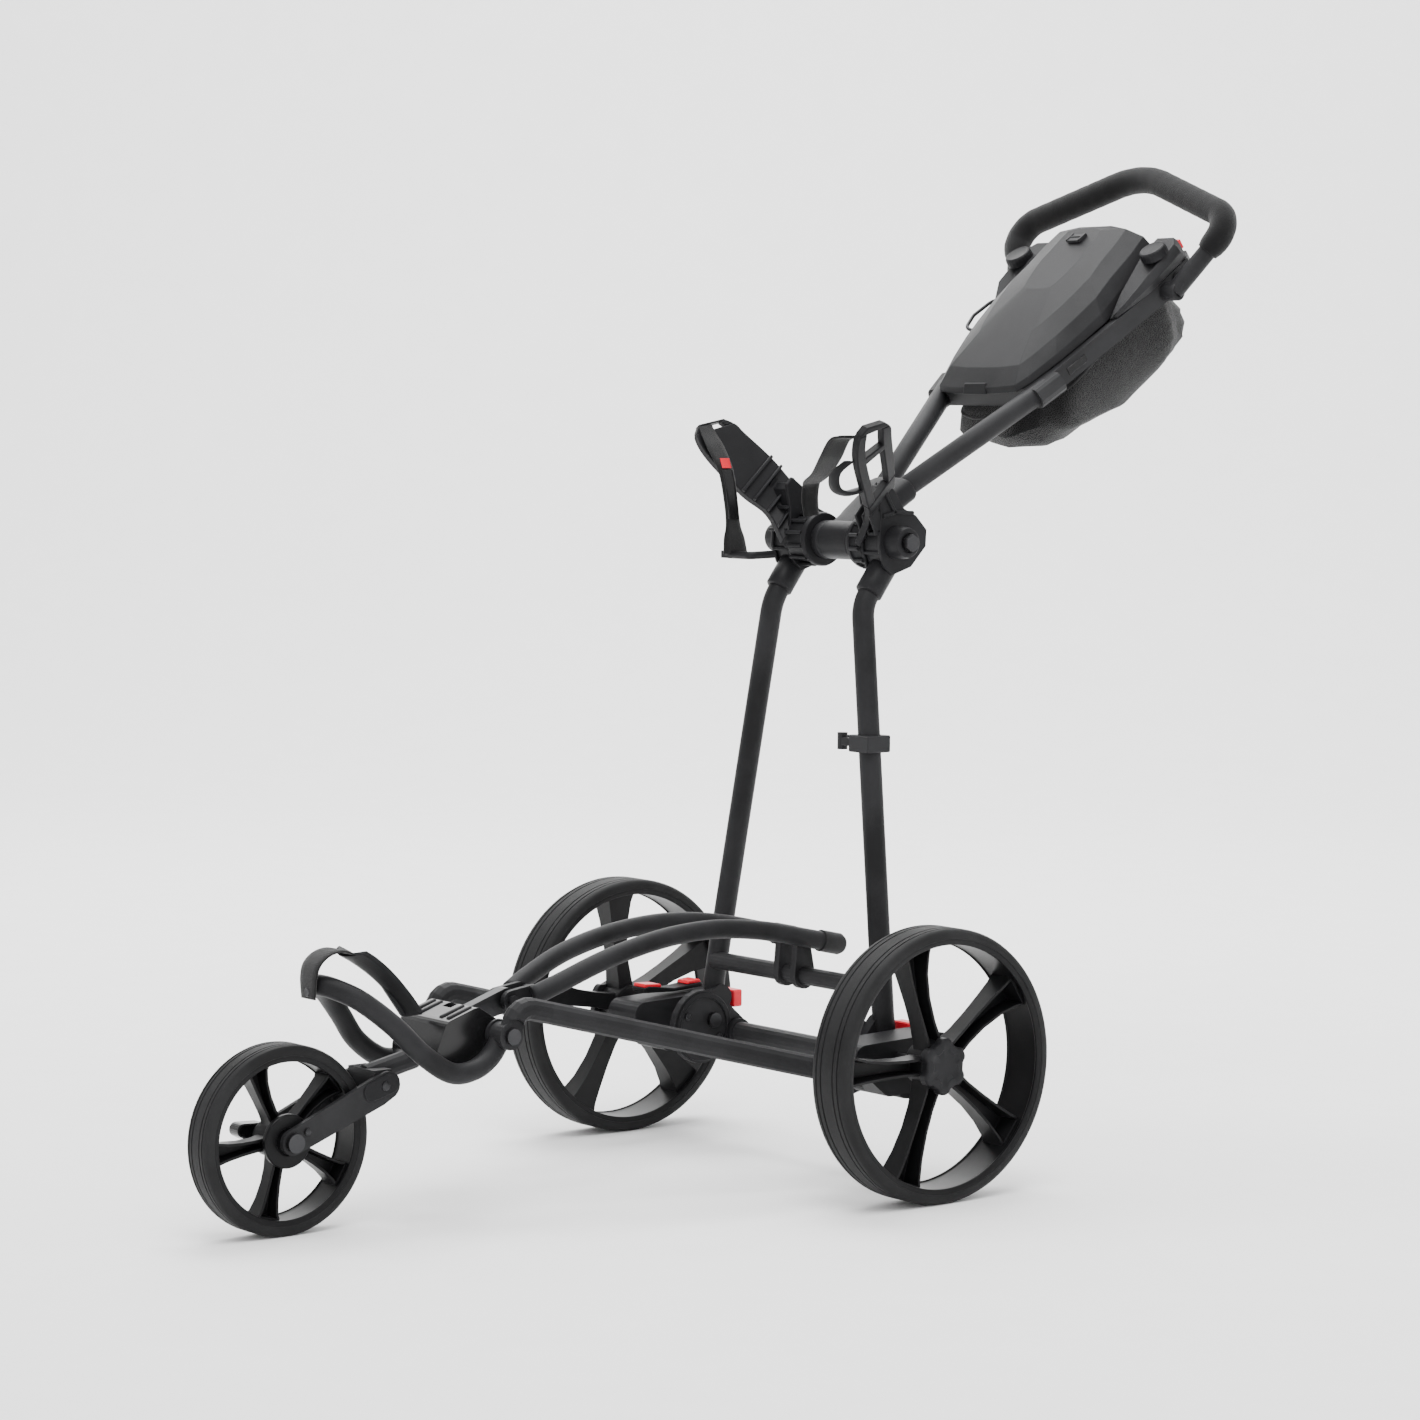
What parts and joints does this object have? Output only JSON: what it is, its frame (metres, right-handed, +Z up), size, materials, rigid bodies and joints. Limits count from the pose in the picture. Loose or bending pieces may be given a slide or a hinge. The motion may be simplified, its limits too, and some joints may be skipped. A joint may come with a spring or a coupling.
{
  "type": "golf push trolley",
  "caption": "Folding golf push trolley with spoked wheels, arched fold rods, bag cradles and a console with a tilting foam grip.",
  "frame": {"origin": "centre of the bounding box footprint, on the floor", "axes": "+Z up, +Y towards the handle (rear), -Y towards the front wheel, +X the trolley's left side"},
  "size_m": [0.608, 1.3631, 1.1498],
  "materials": {
    "frame": "satin",
    "plastic": "matte",
    "gloss": "gloss",
    "console": "matte",
    "tyre": "matte",
    "rim": "satin",
    "foam": "matte",
    "webbing": "matte",
    "mesh_bag": "matte",
    "steel": "satin",
    "red": "gloss"
  },
  "bodies": {
    "base": {"arm_bolt": "steel", "axle_bracket_left": "plastic", "axle_bracket_right": "plastic", "axle_tube": "frame", "base_tube_left": "frame", "base_tube_right": "frame", "fold_bolt_left": "steel", "fold_bolt_right": "steel", "hinge_plate_left": "plastic", "hinge_plate_right": "plastic"},
    "front_arm": {"axle_release": "gloss", "bag_foot": "plastic", "bag_hoop": "frame", "fold_lever": "steel", "foot_strap": "webbing", "fork_plate_left": "frame", "fork_plate_right": "frame", "fork_stem": "frame", "front_axle": "steel", "knuckle_block": "gloss"},
    "uprights": {"bag_cradle_left": "plastic", "bag_cradle_right": "plastic", "bag_strap_left": "webbing", "bag_strap_right": "webbing", "crossbar": "frame", "frame_clip": "plastic", "hub_bolt": "steel", "strap_bar": "plastic", "upright_foot_left": "plastic", "upright_foot_right": "plastic", "upright_left": "frame", "upright_right": "frame"},
    "brake_pedal": {"brake_pedal": "red"},
    "clip_catch": {"clip_catch": "plastic"},
    "lid": {"console_lid": "console"},
    "handle": {"console_tray": "console", "handle_tube_left": "frame", "handle_tube_right": "frame", "handle_yoke": "plastic", "mesh_pouch": "mesh_bag", "rear_housing_left": "console", "rear_housing_right": "console"},
    "grip": {"foam_grip": "foam", "grip_bar": "frame"},
    "fold_button_left": {"fold_button_left": "red"},
    "fold_button_right": {"fold_button_right": "red"},
    "rods": {"fold_rod_left": "frame", "fold_rod_right": "frame", "rod_clevis": "plastic", "rod_pivot_bracket": "plastic"},
    "front_wheel": {"front_wheel_rim": "rim", "front_wheel_tyre": "tyre"},
    "grip_tab_left": {"grip_tab_left": "red"},
    "grip_tab_right": {"grip_tab_right": "red"},
    "knob_left": {"knob_left": "console"},
    "knob_right": {"knob_right": "console"},
    "left_wheel": {"left_wheel_rim": "rim", "left_wheel_tyre": "tyre"},
    "right_wheel": {"right_wheel_rim": "rim", "right_wheel_tyre": "tyre"}
  },
  "joints": [
    {"name": "uprights_fold", "type": "hinge", "parent": "base", "child": "uprights", "pos_m": [0, 0.0965, 0.147], "axis": [1, 0, 0], "range_deg": [0, 78]},
    {"name": "rods_swing", "type": "hinge", "parent": "uprights", "child": "rods", "pos_m": [0, 0.113, 0.214], "axis": [1, 0, 0], "range_deg": [-90, 0]},
    {"name": "front_arm_fold", "type": "hinge", "parent": "base", "child": "front_arm", "pos_m": [0, -0.3395, 0.194], "axis": [1, 0, 0], "range_deg": [0, 96]},
    {"name": "handle_fold", "type": "hinge", "parent": "uprights", "child": "handle", "pos_m": [0, 0.1775, 0.708], "axis": [-1, 0, 0], "range_deg": [0, 105]},
    {"name": "grip_tilt", "type": "hinge", "parent": "handle", "child": "grip", "pos_m": [0, 0.57109, 0.9965], "axis": [1, 0, 0], "range_deg": [-40, 20]},
    {"name": "lid_open", "type": "hinge", "parent": "handle", "child": "lid", "pos_m": [0, 0.3905, 0.87749], "axis": [1, 0, 0], "range_deg": [0, 75]},
    {"name": "left_wheel_spin", "type": "hinge", "parent": "base", "child": "left_wheel", "pos_m": [0.2775, 0.0765, 0.15], "axis": [1, 0, 0], "continuous": true},
    {"name": "right_wheel_spin", "type": "hinge", "parent": "base", "child": "right_wheel", "pos_m": [-0.2775, 0.0765, 0.15], "axis": [1, 0, 0], "continuous": true},
    {"name": "front_wheel_spin", "type": "hinge", "parent": "front_arm", "child": "front_wheel", "pos_m": [0, -0.5815, 0.1], "axis": [1, 0, 0], "continuous": true},
    {"name": "brake_pedal_press", "type": "hinge", "parent": "base", "child": "brake_pedal", "pos_m": [-0.196, 0.0845, 0.176], "axis": [1, 0, 0], "range_deg": [-4, 4]},
    {"name": "fold_button_left_press", "type": "slide", "parent": "base", "child": "fold_button_left", "axis": [0, -1, 0], "range_m": [0, 0.003], "stiffness_N_per_m": 600, "springref_m": -0.002},
    {"name": "fold_button_right_press", "type": "slide", "parent": "base", "child": "fold_button_right", "axis": [0, -1, 0], "range_m": [0, 0.003], "stiffness_N_per_m": 600, "springref_m": -0.002},
    {"name": "grip_tab_left_press", "type": "slide", "parent": "handle", "child": "grip_tab_left", "axis": [0, -0.8059, -0.592], "range_m": [0, 0.003], "stiffness_N_per_m": 600, "springref_m": -0.002},
    {"name": "grip_tab_right_press", "type": "slide", "parent": "handle", "child": "grip_tab_right", "axis": [0, -0.8059, -0.592], "range_m": [0, 0.003], "stiffness_N_per_m": 600, "springref_m": -0.002},
    {"name": "knob_left_turn", "type": "hinge", "parent": "handle", "child": "knob_left", "pos_m": [0.115, 0.5609, 1.0374], "axis": [0, -0.592, 0.8059], "range_deg": [-60, 60]},
    {"name": "knob_right_turn", "type": "hinge", "parent": "handle", "child": "knob_right", "pos_m": [-0.115, 0.5609, 1.0374], "axis": [0, -0.592, 0.8059], "range_deg": [-60, 60]},
    {"name": "clip_catch_turn", "type": "hinge", "parent": "uprights", "child": "clip_catch", "pos_m": [0.05697, 0.13393, 0.484], "axis": [0, 0, -1], "range_deg": [0, 30]}
  ],
  "couplings": [
    {"joint": "rods_swing", "follows": "uprights_fold", "ratio": -1.0955},
    {"joint": "front_arm_fold", "follows": "uprights_fold", "ratio": 1.2032}
  ]
}
